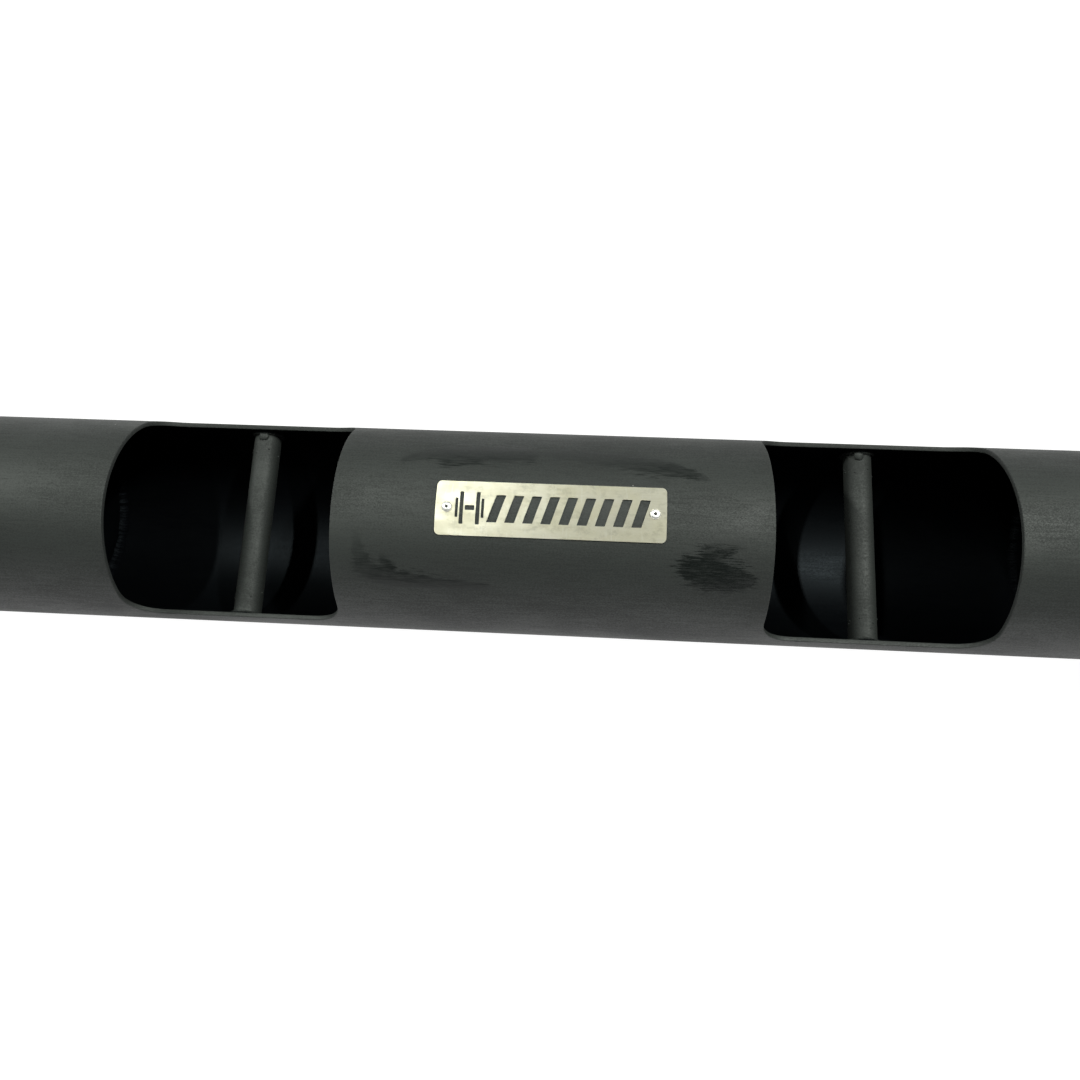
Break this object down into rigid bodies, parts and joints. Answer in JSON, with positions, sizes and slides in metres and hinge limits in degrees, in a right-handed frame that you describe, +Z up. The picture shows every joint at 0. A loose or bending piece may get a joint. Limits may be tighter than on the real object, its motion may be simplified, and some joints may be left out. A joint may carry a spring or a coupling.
{
  "type": "log bar",
  "caption": "Strongman log bar: round steel tube with hand windows, a handle across each window, a riveted name plate and a plate sleeve on each end.",
  "frame": {"origin": "on the floor below the middle of the log, at the bottom centre of the bounding box", "axes": "+X along the log to the right sleeve, +Z up through the hand windows, +Y to the rear end of the handles"},
  "size_m": [2.1, 0.2032, 0.2071],
  "materials": {
    "powder_coat": "satin black powder coat on steel",
    "stainless_plate": "stainless sheet brushed along its length",
    "rivet_aluminium": "plain domed blind rivet",
    "mandrel_steel": "dull zinc-plated steel",
    "black_plastic": "moulded matte plastic"
  },
  "bodies": {
    "root": {"log_shell": "powder_coat", "name_plate": "stainless_plate", "left_handle": "powder_coat", "left_handle_rear_weld": "powder_coat", "left_handle_front_weld": "powder_coat", "left_bulkhead": "powder_coat", "left_bulkhead_weld": "powder_coat", "left_end_plate": "powder_coat", "left_end_plate_weld": "powder_coat", "left_sleeve": "powder_coat", "left_sleeve_weld": "powder_coat", "left_sleeve_inner_weld": "powder_coat", "left_sleeve_cap": "black_plastic", "left_rivet_body": "rivet_aluminium", "left_rivet_mandrel": "mandrel_steel", "right_handle": "powder_coat", "right_handle_rear_weld": "powder_coat", "right_handle_front_weld": "powder_coat", "right_bulkhead": "powder_coat", "right_bulkhead_weld": "powder_coat", "right_end_plate": "powder_coat", "right_end_plate_weld": "powder_coat", "right_sleeve": "powder_coat", "right_sleeve_weld": "powder_coat", "right_sleeve_inner_weld": "powder_coat", "right_sleeve_cap": "black_plastic", "right_rivet_body": "rivet_aluminium", "right_rivet_mandrel": "mandrel_steel"}
  },
  "joints": []
}
